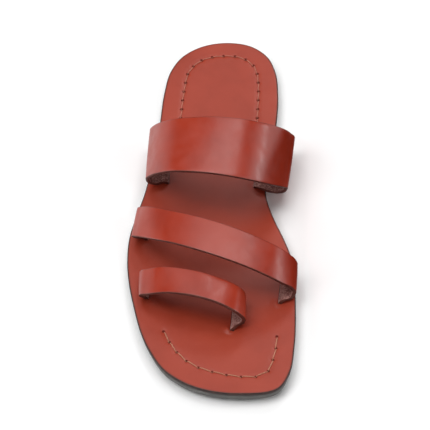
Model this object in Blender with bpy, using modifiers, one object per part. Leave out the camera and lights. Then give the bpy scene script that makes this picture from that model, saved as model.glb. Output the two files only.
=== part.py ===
"""Flat leather slide sandal for the right foot, with an instep strap, a diagonal ball strap and a toe loop.

The toe points along -Y, +X is the inner (medial) side and the sole stands on z = 0.
The tables hold millimetres, and MM turns them into Blender's metres.
"""

from math import radians
from typing import NamedTuple

import bmesh
import bpy
from mathutils import Vector

MM = 0.001

# Driving dimensions
OUTSOLE_THICKNESS = 4.5 * MM
INSOLE_THICKNESS = 2.5 * MM
LAYER_GAP = 0.3 * MM  # glue line between outsole and insole
TOE_SPRING = 2.5 * MM  # lift of the sole at the toe tip
SPRING_START_Y = -60 * MM  # the sole is flat from the heel to here
SOLE_EDGE_ROUND = 0.6 * MM
INSOLE_UNDERCUT = 0.3 * MM  # how far the side wall has leaned in at the bottom of each layer
OUTSOLE_UNDERCUT = 1.1 * MM

STRAP_THICKNESS = 2.2 * MM
INSTEP_WIDTH = 36 * MM
BALL_WIDTH = 20 * MM
TOE_LOOP_WIDTH = 17 * MM
SLIT_CLEARANCE = 0.3 * MM  # between a strap and each wall of its slit
MOUTH_HEIGHT = 0.4 * MM  # a strap stays upright to this height above the footbed

FOOTBED_TOP = OUTSOLE_THICKNESS + LAYER_GAP + INSOLE_THICKNESS

# Mesh density
STEPS_PER_STATION = 4
SOLE_COLUMNS = 8
STEPS_PER_FOLD = 4
STRAP_COLUMNS = 3
ROUND_SEGMENTS = 2
MERGE_DISTANCE = 0.01 * MM
SHARP_ANGLE = radians(35)


class Station(NamedTuple):
    """A line across the sole, between matching points of its outer and inner edge."""

    outer_x: float
    outer_y: float
    inner_x: float
    inner_y: float


class Fold(NamedTuple):
    """A line across a strap, from its front edge to its back edge. Heights are above the footbed."""

    front_x: float
    front_y: float
    front_h: float
    back_x: float
    back_y: float
    back_h: float


HEEL_TIP = Station(5, 130.4, 5, 130.4)
TOE_TIP = Station(16, -130.3, 16, -130.3)
SOLE_STATIONS = (
    HEEL_TIP,
    Station(-10.5, 126.8, 22.2, 126.8),
    Station(-21.2, 119, 30.9, 119),
    Station(-28, 107, 35.8, 107),
    Station(-31.2, 91, 37.5, 91),
    Station(-33.4, 66, 36.6, 66),
    Station(-37, 36, 31.8, 36),
    Station(-41, 13, 30.7, 13),
    Station(-46, -6, 35.9, -6),
    Station(-48.7, -19, 41.1, -19),
    Station(-49.4, -33, 45.7, -33),
    Station(-44.7, -68, 48.3, -68),
    Station(-35.5, -98, 47.5, -98),
    Station(-25.6, -114, 45.3, -114),
    Station(-14, -122.9, 39.6, -125.5),
    TOE_TIP,
)

# The first and last fold of each strap stand in its slits, at the footbed.
INSTEP_FOLDS = (
    Fold(-27.7, 20.5, 0, -26, 56.5, 0),
    Fold(-29.4, 19.7, 2.6, -27.8, 55.6, 2.6),
    Fold(-34, 18.2, 3, -32.4, 54, 3.2),
    Fold(-37.5, 17.3, 5.4, -36.2, 53, 6.2),
    Fold(-38.7, 15.4, 10.6, -37.2, 51.4, 12.2),
    Fold(-35.4, 11, 20, -34.2, 47, 22.2),
    Fold(-30, 6.2, 28.5, -28.8, 42.1, 31.4),
    Fold(-22.8, 2.2, 35, -21.5, 38, 38.8),
    Fold(-10, -1.8, 39.6, -8.4, 33.7, 45.7),
    Fold(2.5, -4.4, 41, 4.4, 30.5, 49.8),
    Fold(15, -5.9, 39.6, 17.5, 28.3, 50.6),
    Fold(25.5, -3.9, 33.4, 28.7, 30, 45.2),
    Fold(34.6, 1.6, 23, 38, 35.6, 34.4),
    Fold(40.4, 8.2, 12.4, 44.3, 43.5, 19.5),
    Fold(42.3, 11.6, 6, 46.6, 48.4, 9),
    Fold(40.2, 11.2, 2.2, 45, 49.8, 3.8),
    Fold(33.6, 11.4, 1.7, 38.2, 50.8, 2.4),
    Fold(26.4, 15, 2.6, 29.8, 51.5, 2.8),
    Fold(24.3, 17.5, 0, 27.5, 53.4, 0),
)
BALL_FOLDS = (
    Fold(-38.7, -21, 0, -37, -1, 0),
    Fold(-40.3, -21.3, 2.5, -38.6, -1.2, 2.5),
    Fold(-44.2, -22.4, 3.8, -41.8, -1.8, 4.2),
    Fold(-45.8, -24.4, 7.6, -43, -4, 8.8),
    Fold(-43.5, -27.4, 11.6, -40.5, -7.4, 14),
    Fold(-38.2, -32.2, 17, -35.4, -12.8, 20.8),
    Fold(-31.5, -37.8, 22.5, -28.1, -18.4, 26),
    Fold(-22.1, -43.7, 27.5, -17.9, -24.4, 30.3),
    Fold(-12.9, -48.5, 30, -7.8, -29.5, 33.2),
    Fold(0.6, -54.4, 31.1, 6.8, -35.7, 34.5),
    Fold(14.1, -59.4, 30, 19.9, -40.5, 32.8),
    Fold(23, -62.3, 28, 28.5, -43.2, 30.3),
    Fold(32, -64.4, 24, 36.6, -45.1, 26.4),
    Fold(40.8, -64.4, 16.5, 43.8, -44.8, 18.2),
    Fold(46, -62.7, 9.5, 47.4, -42.8, 10),
    Fold(47.4, -62.6, 5, 48.2, -42.4, 5),
    Fold(45.6, -64.8, 2.6, 46.6, -44, 2.6),
    Fold(41, -66.6, 2.4, 42.8, -46, 2.4),
    Fold(39.2, -66.8, 0, 40.8, -46.4, 0),
)
TOE_LOOP_FOLDS = (
    Fold(-37.2, -63.5, 0, -37.4, -46, 0),
    Fold(-38.8, -63.7, 2.4, -39, -46.3, 2.4),
    Fold(-40.3, -65.2, 4.9, -40.5, -47.2, 4.8),
    Fold(-39.5, -67, 8.6, -39.5, -49, 8.8),
    Fold(-36, -69, 12, -35.6, -51.5, 13),
    Fold(-30.6, -70.5, 15.5, -30.5, -53.6, 17.2),
    Fold(-23.5, -72.6, 19, -22, -56, 20),
    Fold(-17.1, -74.7, 21, -14.7, -58.2, 21.4),
    Fold(-8, -77.7, 22.5, -4.6, -61.3, 22.2),
    Fold(0.9, -80.7, 22.5, 5, -64.6, 21.3),
    Fold(8, -83.3, 21.2, 11.4, -67, 20.2),
    Fold(13, -84.8, 18.6, 15.2, -68.2, 18.4),
    Fold(16.8, -84.8, 14, 17.6, -68, 14.6),
    Fold(18.7, -84, 9.2, 18.7, -67.2, 10),
    Fold(18, -83.8, 5, 18.2, -66.8, 5.6),
    Fold(14.4, -84.6, 2.8, 15.6, -67.4, 3),
    Fold(12, -85.8, 0, 13.2, -68.8, 0),
)

# Finishes: smooth red-brown leather on a grey rubber sole
STRAP_COLOUR = (0.37, 0.06, 0.034, 1)
STRAP_ROUGHNESS = 0.4
INSOLE_COLOUR = (0.4, 0.08, 0.05, 1)
INSOLE_ROUGHNESS = 0.5
RUBBER_COLOUR = (0.115, 0.11, 0.108, 1)
RUBBER_ROUGHNESS = 0.75


def clear_scene():
    for obj in list(bpy.data.objects):
        bpy.data.objects.remove(obj)


def new_collection(name):
    collection = bpy.data.collections.new(name)
    bpy.context.scene.collection.children.link(collection)
    return collection


def make_material(name, colour, roughness):
    material = bpy.data.materials.new(name)
    material.use_nodes = True
    shader = material.node_tree.nodes["Principled BSDF"]
    shader.inputs["Base Color"].default_value = colour
    shader.inputs["Roughness"].default_value = roughness
    shader.inputs["Metallic"].default_value = 0
    return material


def toe_lift(y):
    """How far the toe spring raises the sole at y."""
    past = max(0, (SPRING_START_Y - y) / (SPRING_START_Y - TOE_TIP.outer_y * MM))
    return TOE_SPRING * past**2


def smooth_through(knots, steps, closed=False):
    """Points on a smooth curve through the knots, with this many steps between each two of them.

    Each stretch is a cubic whose slope at a knot comes from its neighbours, weighed by their distances.
    """
    count = len(knots)
    spans = count if closed else count - 1
    curve = []
    for i in range(spans):
        here, there = knots[i], knots[(i + 1) % count]
        before = knots[i - 1] if closed or i > 0 else here * 2 - there
        after = knots[(i + 2) % count] if closed or i + 2 < count else there * 2 - here
        chord = (there - here).length
        slope_here = knot_slope(before, here, there) * chord
        slope_there = knot_slope(here, there, after) * chord
        for step in range(steps):
            t = step / steps
            curve.append(
                here * (2 * t**3 - 3 * t**2 + 1)
                + slope_here * (t**3 - 2 * t**2 + t)
                + there * (3 * t**2 - 2 * t**3)
                + slope_there * (t**3 - t**2)
            )
    if not closed:
        curve.append(knots[-1].copy())
    return curve


def knot_slope(before, here, after):
    """Slope of the curve at a knot, for each metre of chord."""
    first, second = here - before, after - here
    a, b = first.length, second.length
    return (first * (b / a) + second * (a / b)) / (a + b)


def grid_object(name, rows, collection, material):
    """A surface of quads through rows of points. A row that is a ring repeats its first point."""
    grid = bmesh.new()
    lines = [[grid.verts.new(point) for point in row] for row in rows]
    for line, following in zip(lines, lines[1:]):
        for i in range(len(line) - 1):
            grid.faces.new((line[i], following[i], following[i + 1], line[i + 1]))
    bmesh.ops.remove_doubles(grid, verts=grid.verts, dist=MERGE_DISTANCE)
    bmesh.ops.dissolve_degenerate(grid, edges=grid.edges, dist=MERGE_DISTANCE)
    mesh = bpy.data.meshes.new(name)
    grid.to_mesh(mesh)
    grid.free()
    mesh.materials.append(material)
    obj = bpy.data.objects.new(name, mesh)
    collection.objects.link(obj)
    return obj


def add_wall(obj, thickness):
    """Thickens an open surface evenly to both sides."""
    wall = obj.modifiers.new("wall", "SOLIDIFY")
    wall.thickness = thickness
    wall.offset = 0
    wall.use_even_offset = True


def add_edge_round(obj, radius):
    edge = obj.modifiers.new("edge", "BEVEL")
    edge.width = radius
    edge.segments = ROUND_SEGMENTS
    edge.limit_method = "ANGLE"


def shade_round(obj):
    obj.data.shade_smooth()
    obj.data.set_sharp_from_angle(angle=SHARP_ANGLE)


def sole_outline():
    """The sole's outline as closed points, from the heel tip down the outer side and back up the inner."""
    outer = [Vector((s.outer_x, s.outer_y, 0)) * MM for s in SOLE_STATIONS]
    inner = [Vector((s.inner_x, s.inner_y, 0)) * MM for s in SOLE_STATIONS]
    return smooth_through(outer + inner[-2:0:-1], STEPS_PER_STATION, closed=True)


def drawn_in(outline, distance):
    """The closed outline moved inwards by a distance."""
    moved = []
    for i, point in enumerate(outline):
        along = outline[(i + 1) % len(outline)] - outline[i - 1]
        inwards = Vector((-along.y, along.x, 0)).normalized()
        moved.append(point + inwards * distance)
    return moved


def sole_face(outline, height):
    """Rows of points across a sole face, from the heel to the toe, that follow the toe spring."""
    toe = len(outline) // 2
    outer_edge = outline[: toe + 1]
    inner_edge = outline[:1] + outline[: toe - 1 : -1]
    rows = []
    for outer, inner in zip(outer_edge, inner_edge):
        row = [outer.lerp(inner, i / SOLE_COLUMNS) for i in range(SOLE_COLUMNS + 1)]
        rows.append([Vector((p.x, p.y, height + toe_lift(p.y))) for p in row])
    return rows


def sole_layer(name, top, thickness, undercuts, collection, material):
    """A sole layer whose side wall leans in, with the undercuts at its top and bottom face."""
    outline = sole_outline()
    upper = sole_face(drawn_in(outline, undercuts[0]), top)
    lower = sole_face(drawn_in(outline, undercuts[1]), top - thickness)
    rings = [above + below[::-1] + above[:1] for above, below in zip(upper, lower)]
    layer = grid_object(name, rings, collection, material)
    add_edge_round(layer, SOLE_EDGE_ROUND)
    shade_round(layer)
    return layer


def fold_line(fold, width, height=0):
    """Front and back end of a fold, set to the strap's width about the fold's middle."""
    ends = []
    for x, y, h in (fold[:3], fold[3:]):
        ends.append(Vector((x * MM, y * MM, FOOTBED_TOP + toe_lift(y * MM) + h * MM + height)))
    front, back = ends
    middle, half = (front + back) / 2, (back - front).normalized() * width / 2
    return middle - half, middle + half


def strap_edges(folds, width):
    """Front and back edge of a strap, from the bottom of one slit to the bottom of the other."""
    depth = -INSOLE_THICKNESS
    lines = [fold_line(folds[0], width, depth), fold_line(folds[0], width, MOUTH_HEIGHT)]
    lines += [fold_line(fold, width) for fold in folds[1:-1]]
    lines += [fold_line(folds[-1], width, MOUTH_HEIGHT), fold_line(folds[-1], width, depth)]
    fronts, backs = zip(*lines)
    return smooth_through(fronts, STEPS_PER_FOLD), smooth_through(backs, STEPS_PER_FOLD)


def make_strap(name, folds, width, collection, material):
    rows = []
    for front, back in zip(*strap_edges(folds, width)):
        rows.append([front.lerp(back, i / STRAP_COLUMNS) for i in range(STRAP_COLUMNS + 1)])
    strap = grid_object(name, rows, collection, material)
    add_wall(strap, STRAP_THICKNESS)
    shade_round(strap)
    return strap


def make_slit_cutter(name, fold, width, collection):
    """A box that cuts one slit through the insole, under the given end fold."""
    front, back = fold_line(fold, width)
    along = back - front
    bpy.ops.mesh.primitive_cube_add(size=1, location=(front + back) / 2)
    cutter = bpy.context.object
    cutter.name = name
    cutter.rotation_mode = "QUATERNION"
    cutter.rotation_quaternion = Vector((0, 1, 0)).rotation_difference(along)
    through_insole = 4 * INSOLE_THICKNESS
    cutter.scale = (STRAP_THICKNESS + 2 * SLIT_CLEARANCE, width + 2 * SLIT_CLEARANCE, through_insole)
    cutter.hide_render = True
    cutter.display_type = "WIRE"
    for holder in list(cutter.users_collection):
        holder.objects.unlink(cutter)
    collection.objects.link(cutter)


def cut_slits(insole, cutters):
    slits = insole.modifiers.new("slits", "BOOLEAN")
    slits.operation = "DIFFERENCE"
    slits.operand_type = "COLLECTION"
    slits.collection = cutters


def main():
    clear_scene()
    parts = new_collection("leather_sandal")
    cutters = new_collection("slit_cutters")
    rubber = make_material("outsole_rubber", RUBBER_COLOUR, RUBBER_ROUGHNESS)
    footbed = make_material("insole_leather", INSOLE_COLOUR, INSOLE_ROUGHNESS)

    outsole_lean = (INSOLE_UNDERCUT, OUTSOLE_UNDERCUT)
    insole_lean = (0, INSOLE_UNDERCUT)
    sole_layer("outsole", OUTSOLE_THICKNESS, OUTSOLE_THICKNESS, outsole_lean, parts, rubber)
    insole = sole_layer("insole", FOOTBED_TOP, INSOLE_THICKNESS, insole_lean, parts, footbed)
    straps = {
        "instep_strap": (INSTEP_FOLDS, INSTEP_WIDTH),
        "ball_strap": (BALL_FOLDS, BALL_WIDTH),
        "toe_loop": (TOE_LOOP_FOLDS, TOE_LOOP_WIDTH),
    }
    for name, (folds, width) in straps.items():
        leather = make_material(f"{name}_leather", STRAP_COLOUR, STRAP_ROUGHNESS)
        make_strap(name, folds, width, parts, leather)
        make_slit_cutter(f"{name}_outer_slit", folds[0], width, cutters)
        make_slit_cutter(f"{name}_inner_slit", folds[-1], width, cutters)
    cut_slits(insole, cutters)


main()
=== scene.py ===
"""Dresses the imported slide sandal: leather footbed and straps, suede linings, thread and a rubber sole.

The toe points along -Y, +X is the inner (big-toe) side and the sole stands on z = 0. Lengths are metres,
unless a class says mm.
"""

import logging
from dataclasses import dataclass, field
from enum import Enum, IntEnum
from math import atan2, cos, exp, pi, radians, sin
from typing import NamedTuple

import bpy
from mathutils import Matrix, Vector
from mathutils.kdtree import KDTree


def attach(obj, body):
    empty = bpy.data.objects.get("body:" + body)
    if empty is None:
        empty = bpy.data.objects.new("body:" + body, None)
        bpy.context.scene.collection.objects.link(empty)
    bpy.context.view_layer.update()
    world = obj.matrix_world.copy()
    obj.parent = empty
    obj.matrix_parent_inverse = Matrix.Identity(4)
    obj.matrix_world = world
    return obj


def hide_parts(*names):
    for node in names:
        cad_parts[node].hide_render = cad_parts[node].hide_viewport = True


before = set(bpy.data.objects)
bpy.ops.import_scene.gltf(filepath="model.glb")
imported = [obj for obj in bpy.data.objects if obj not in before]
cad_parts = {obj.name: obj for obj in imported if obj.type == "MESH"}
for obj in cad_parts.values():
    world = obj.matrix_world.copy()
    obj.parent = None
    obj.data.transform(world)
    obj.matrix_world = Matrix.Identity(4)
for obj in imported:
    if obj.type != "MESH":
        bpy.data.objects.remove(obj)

MM = 0.001
LOG = logging.getLogger("sandal")
BODY = "root"

Rows = list[list[Vector]]
Triple = tuple[float, float, float]
Colour = tuple[float, float, float]
Range = tuple[float, float]
Piece = bpy.types.Object
Material = bpy.types.Material
Socket = bpy.types.NodeSocket


class Node(Enum):
    """The sandal's solids, by their names in the frame."""

    OUTSOLE = "outsole"
    INSOLE = "insole"
    INSTEP = "instep_strap"
    BALL = "ball_strap"
    TOE = "toe_loop"


class Slot(IntEnum):
    """Order of the finishes on a piece."""

    FACE = 0
    FLESH = 1
    EDGE = 2
    HOLE = 3


class Station(NamedTuple):
    """A line across the sole between matching points of its outer and inner edge, in mm."""

    outer_x: float
    outer_y: float
    inner_x: float
    inner_y: float


class Fold(NamedTuple):
    """A line across a strap from its front edge to its back edge, in mm. Heights are above the footbed."""

    front_x: float
    front_y: float
    front_h: float
    back_x: float
    back_y: float
    back_h: float


class Rim(NamedTuple):
    """A ring of the sole's edge: how far it lies inside the outline and below the top, in mm."""

    inset: float
    drop: float


class Softbox(NamedTuple):
    """A lamp.

    Its bearing is clockwise from behind the heel. Angles are in degrees, sides in metres, power in watts.
    """

    label: str
    bearing: float
    elevation: float
    width: float
    height: float
    power: float


class Pucker(NamedTuple):
    """A small lip of leather beside a slit, in mm."""

    x: float
    y: float
    height: float
    radius: float


# Listed shapes

SOLE_STATIONS = (
    Station(5, 130.4, 5, 130.4),
    Station(-10.5, 126.8, 22.2, 126.8),
    Station(-21.2, 119, 30.9, 119),
    Station(-28, 107, 35.8, 107),
    Station(-31.2, 91, 37.5, 91),
    Station(-33.4, 66, 36.6, 66),
    Station(-37, 36, 31.8, 36),
    Station(-41, 13, 30.7, 13),
    Station(-46, -6, 35.9, -6),
    Station(-48.7, -19, 41.1, -19),
    Station(-49.4, -33, 45.7, -33),
    Station(-44.7, -68, 48.3, -68),
    Station(-35.5, -98, 47.5, -98),
    Station(-25.6, -114, 45.3, -114),
    Station(-14, -122.9, 39.6, -125.5),
    Station(16, -130.3, 16, -130.3),
)

# The first and last fold of each strap stand in its slits, at the footbed.
INSTEP_FOLDS = (
    Fold(-27.7, 20.5, 0, -26, 56.5, 0),
    Fold(-29.4, 19.7, 2.6, -27.8, 55.6, 2.6),
    Fold(-34, 18.2, 3, -32.4, 54, 3.2),
    Fold(-37.5, 17.3, 5.4, -36.2, 53, 6.2),
    Fold(-38.7, 15.4, 10.6, -37.2, 51.4, 12.2),
    Fold(-35.4, 11, 20, -34.2, 47, 22.2),
    Fold(-30, 6.2, 28.5, -28.8, 42.1, 31.4),
    Fold(-22.8, 2.2, 35, -21.5, 38, 38.8),
    Fold(-10, -1.8, 39.6, -8.4, 33.7, 45.7),
    Fold(2.5, -4.4, 41, 4.4, 30.5, 49.8),
    Fold(15, -5.9, 39.6, 17.5, 28.3, 50.6),
    Fold(25.5, -3.9, 33.4, 28.7, 30, 45.2),
    Fold(34.6, 1.6, 23, 38, 35.6, 34.4),
    Fold(40.4, 8.2, 12.4, 44.3, 43.5, 19.5),
    Fold(42.3, 11.6, 6, 46.6, 48.4, 9),
    Fold(40.2, 11.2, 2.2, 45, 49.8, 3.8),
    Fold(33.6, 11.4, 1.7, 38.2, 50.8, 2.4),
    Fold(26.4, 15, 2.6, 29.8, 51.5, 2.8),
    Fold(24.3, 17.5, 0, 27.5, 53.4, 0),
)
BALL_FOLDS = (
    Fold(-38.7, -21, 0, -37, -1, 0),
    Fold(-40.3, -21.3, 2.5, -38.6, -1.2, 2.5),
    Fold(-44.2, -22.4, 3.8, -41.8, -1.8, 4.2),
    Fold(-45.8, -24.4, 7.6, -43, -4, 8.8),
    Fold(-43.5, -27.4, 11.6, -40.5, -7.4, 14),
    Fold(-38.2, -32.2, 17, -35.4, -12.8, 20.8),
    Fold(-31.5, -37.8, 22.5, -28.1, -18.4, 26),
    Fold(-22.1, -43.7, 27.5, -17.9, -24.4, 30.3),
    Fold(-12.9, -48.5, 30, -7.8, -29.5, 33.2),
    Fold(0.6, -54.4, 31.1, 6.8, -35.7, 34.5),
    Fold(14.1, -59.4, 30, 19.9, -40.5, 32.8),
    Fold(23, -62.3, 28, 28.5, -43.2, 30.3),
    Fold(32, -64.4, 24, 36.6, -45.1, 26.4),
    Fold(40.8, -64.4, 16.5, 43.8, -44.8, 18.2),
    Fold(46, -62.7, 9.5, 47.4, -42.8, 10),
    Fold(47.4, -62.6, 5, 48.2, -42.4, 5),
    Fold(45.6, -64.8, 2.6, 46.6, -44, 2.6),
    Fold(41, -66.6, 2.4, 42.8, -46, 2.4),
    Fold(39.2, -66.8, 0, 40.8, -46.4, 0),
)
TOE_LOOP_FOLDS = (
    Fold(-37.2, -63.5, 0, -37.4, -46, 0),
    Fold(-38.8, -63.7, 2.4, -39, -46.3, 2.4),
    Fold(-40.3, -65.2, 4.9, -40.5, -47.2, 4.8),
    Fold(-39.5, -67, 8.6, -39.5, -49, 8.8),
    Fold(-36, -69, 12, -35.6, -51.5, 13),
    Fold(-30.6, -70.5, 15.5, -30.5, -53.6, 17.2),
    Fold(-23.5, -72.6, 19, -22, -56, 20),
    Fold(-17.1, -74.7, 21, -14.7, -58.2, 21.4),
    Fold(-8, -77.7, 22.5, -4.6, -61.3, 22.2),
    Fold(0.9, -80.7, 22.5, 5, -64.6, 21.3),
    Fold(8, -83.3, 21.2, 11.4, -67, 20.2),
    Fold(13, -84.8, 18.6, 15.2, -68.2, 18.4),
    Fold(16.8, -84.8, 14, 17.6, -68, 14.6),
    Fold(18.7, -84, 9.2, 18.7, -67.2, 10),
    Fold(18, -83.8, 5, 18.2, -66.8, 5.6),
    Fold(14.4, -84.6, 2.8, 15.6, -67.4, 3),
    Fold(12, -85.8, 0, 13.2, -68.8, 0),
)

# Stitch lines on the footbed, as x and y in mm
HEEL_SEAM = (
    (-21, 50), (-20.6, 74), (-19, 94), (-16.3, 108), (-9.5, 116), (3.5, 119.6),
    (14.5, 118.3), (21, 114), (24.2, 107.5), (25.6, 94), (25.3, 78), (24.4, 50),
)
TOE_SEAM = (
    (-26.8, -86), (-22.7, -94.7), (-17.3, -102.8), (-9.4, -110), (-0.8, -113.8), (8.7, -116.6),
    (16.1, -117.9), (25, -118.2), (31.8, -115.5), (35, -107.8), (36.8, -100), (37.6, -89.5),
)
SLIT_PUCKERS = (
    Pucker(9.3, -84.6, 1.5, 1.4),
    Pucker(10.4, -86.6, 1.1, 1.1),
    Pucker(36.6, -65.4, 1.3, 1.3),
    Pucker(37.6, -67.6, 0.9, 1.0),
    Pucker(22.4, 18.6, 0.4, 1.8),
    Pucker(-34.6, -62.6, 0.4, 1.6),
    Pucker(-36, -20.4, 0.4, 1.6),
)

SOFTBOXES = (
    Softbox("overhead", 0, 86, 1.2, 1.2, 13.8),
    Softbox("left_high", 250, 63, 1.0, 0.9, 12.4),
    Softbox("left_low", 240, 24, 1.2, 0.7, 8.2),
    Softbox("left_side", 284, 10, 0.8, 0.4, 5),
    Softbox("right_front", 120, 43, 0.9, 0.7, 4.6),
    Softbox("right_high", 60, 66, 0.6, 0.5, 3),
    Softbox("right_side", 98, 25, 0.9, 0.6, 3),
    Softbox("right_low", 80, 12, 0.5, 0.2, 6.2),
    Softbox("behind_right", 15, 45, 0.5, 0.4, 5),
    Softbox("behind_left", 330, 53, 0.7, 0.7, 3),
)


# Curves


def knot_slope(before: Vector, here: Vector, after: Vector) -> Vector:
    """Slope of a smooth curve at a knot.

    Args:
        before: The knot before it.
        here: The knot itself.
        after: The knot after it.

    Returns:
        The slope for each metre of chord.
    """
    first, second = here - before, after - here
    a, b = first.length, second.length
    return (first * (b / a) + second * (a / b)) / (a + b)


def smooth_through(knots: list[Vector], steps: int, closed: bool = False) -> list[Vector]:
    """Points on a smooth curve through the knots.

    Args:
        knots: The points that the curve passes through.
        steps: Steps between each two knots.
        closed: Whether the curve returns to its first knot.

    Returns:
        The curve's points. A closed curve doesn't repeat its first point.
    """
    count = len(knots)
    spans = count if closed else count - 1
    curve = []
    for i in range(spans):
        here, there = knots[i], knots[(i + 1) % count]
        before = knots[i - 1] if closed or i > 0 else here * 2 - there
        after = knots[(i + 2) % count] if closed or i + 2 < count else there * 2 - here
        chord = (there - here).length
        slope_here = knot_slope(before, here, there) * chord
        slope_there = knot_slope(here, there, after) * chord
        for step in range(steps):
            t = step / steps
            curve.append(
                here * (2 * t**3 - 3 * t**2 + 1)
                + slope_here * (t**3 - 2 * t**2 + t)
                + there * (3 * t**2 - 2 * t**3)
                + slope_there * (t**3 - t**2)
            )
    if not closed:
        curve.append(knots[-1].copy())
    return curve


def run_lengths(path: list[Vector]) -> list[float]:
    """Distance along a path from its start to each of its points.

    Args:
        path: The path's points.

    Returns:
        One distance for each point.
    """
    runs = [0.0]
    for a, b in zip(path, path[1:]):
        runs.append(runs[-1] + (b - a).length)
    return runs


def rounded(radius: float, steps: int) -> list[Rim]:
    """Rings of a rounded top edge, from the face to the side.

    Args:
        radius: The radius in mm.
        steps: Steps round the quarter circle.

    Returns:
        The rings.
    """
    angles = [pi / 2 * n / steps for n in range(steps + 1)]
    return [Rim(radius * (1 - sin(a)), radius * (1 - cos(a))) for a in angles]


# Modelling steps


class Bench:
    """Blender's modelling operators as steps at the bench."""

    @staticmethod
    def clear() -> None:
        """Leaves nothing selected."""
        bpy.ops.object.select_all(action="DESELECT")

    @staticmethod
    def take(obj: Piece) -> None:
        """Selects one object alone and makes it the active one.

        Args:
            obj: The object.
        """
        Bench.clear()
        obj.select_set(True)
        bpy.context.view_layer.objects.active = obj

    @staticmethod
    def name(label: str) -> Piece:
        """Names the object that was just added, and its mesh.

        Args:
            label: The name.

        Returns:
            The object.
        """
        obj = bpy.context.active_object
        obj.name = label
        obj.data.name = label
        return obj

    @staticmethod
    def sheet(label: str, rows: Rows, edge_distance: list[list[float]]) -> Piece:
        """Adds a grid and lays it through rows of points.

        Args:
            label: The sheet's name.
            rows: Rows of points, all of one length.
            edge_distance: For each point, its distance from the piece's nearest edge, kept as UV height.

        Returns:
            The sheet, whose UV runs from row to row in metres.
        """
        spans, columns = len(rows) - 1, len(rows[0]) - 1
        Bench.clear()
        bpy.ops.mesh.primitive_grid_add(x_subdivisions=spans, y_subdivisions=columns, size=2)
        obj = Bench.name(label)
        mesh = obj.data
        places = []
        for vertex in mesh.vertices:
            i = round((vertex.co.x + 1) / 2 * spans)
            j = round((vertex.co.y + 1) / 2 * columns)
            places.append((i, j))
        for vertex, (i, j) in zip(mesh.vertices, places):
            vertex.co = rows[i][j]
        runs = run_lengths([row[0] for row in rows])
        uv = mesh.uv_layers.active.data
        for loop in mesh.loops:
            i, j = places[loop.vertex_index]
            uv[loop.index].uv = (runs[i], edge_distance[i][j])
        return obj

    @staticmethod
    def weld(obj: Piece, distance: float = 0.002 * MM) -> None:
        """Merges points that lie together and turns all faces outwards.

        Args:
            obj: The piece.
            distance: Points closer than this are merged.
        """
        Bench.take(obj)
        bpy.ops.object.mode_set(mode="EDIT")
        bpy.ops.mesh.select_all(action="SELECT")
        bpy.ops.mesh.remove_doubles(threshold=distance)
        bpy.ops.mesh.dissolve_degenerate(threshold=distance)
        bpy.ops.mesh.select_all(action="SELECT")
        bpy.ops.mesh.normals_make_consistent(inside=False)
        bpy.ops.object.mode_set(mode="OBJECT")

    @staticmethod
    def apply(obj: Piece, kind: str, **settings: object) -> None:
        """Adds a modifier and applies it.

        Args:
            obj: The piece.
            kind: The modifier's type.
            settings: Its values by name.
        """
        Bench.take(obj)
        modifier = obj.modifiers.new(kind.lower(), kind)
        for key, value in settings.items():
            setattr(modifier, key, value)
        bpy.ops.object.modifier_apply(modifier=modifier.name)

    @staticmethod
    def join(objs: list[Piece], label: str) -> Piece:
        """Joins objects into one.

        Args:
            objs: The objects.
            label: The name of the result.

        Returns:
            The joined object.
        """
        Bench.take(objs[0])
        for obj in objs:
            obj.select_set(True)
        if len(objs) > 1:
            bpy.ops.object.join()
        bpy.ops.object.transform_apply()
        return Bench.name(label)

    @staticmethod
    def cut(obj: Piece, cutter: Piece, slot: Slot) -> None:
        """Cuts one piece with another and throws the cutter away.

        Args:
            obj: The piece to cut.
            cutter: A closed mesh.
            slot: The finish of the cut faces.
        """
        for face in cutter.data.polygons:
            face.material_index = slot
        Bench.apply(obj, "BOOLEAN", operation="DIFFERENCE", object=cutter, solver="EXACT")
        mesh = cutter.data
        bpy.data.objects.remove(cutter)
        bpy.data.meshes.remove(mesh)

    @staticmethod
    def coat(obj: Piece, *materials: Material) -> None:
        """Gives a piece its finishes, in the order of their slots."""
        for material in materials:
            obj.data.materials.append(material)

    @staticmethod
    def smooth(obj: Piece, angle: float) -> None:
        """Shades a piece smooth below an angle between faces."""
        Bench.take(obj)
        bpy.ops.object.shade_smooth_by_angle(angle=angle)

    @staticmethod
    def fit(obj: Piece, slot: Node, *replaced: Node) -> None:
        """Rides a finished piece on the sandal.

        Args:
            obj: The piece.
            slot: Not used.
            replaced: The solids that it stands for.
        """
        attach(obj, BODY)
        for node in replaced:
            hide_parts(node.value)
        LOG.info("%s: %d faces", obj.name, len(obj.data.polygons))


# Finishes


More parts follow.
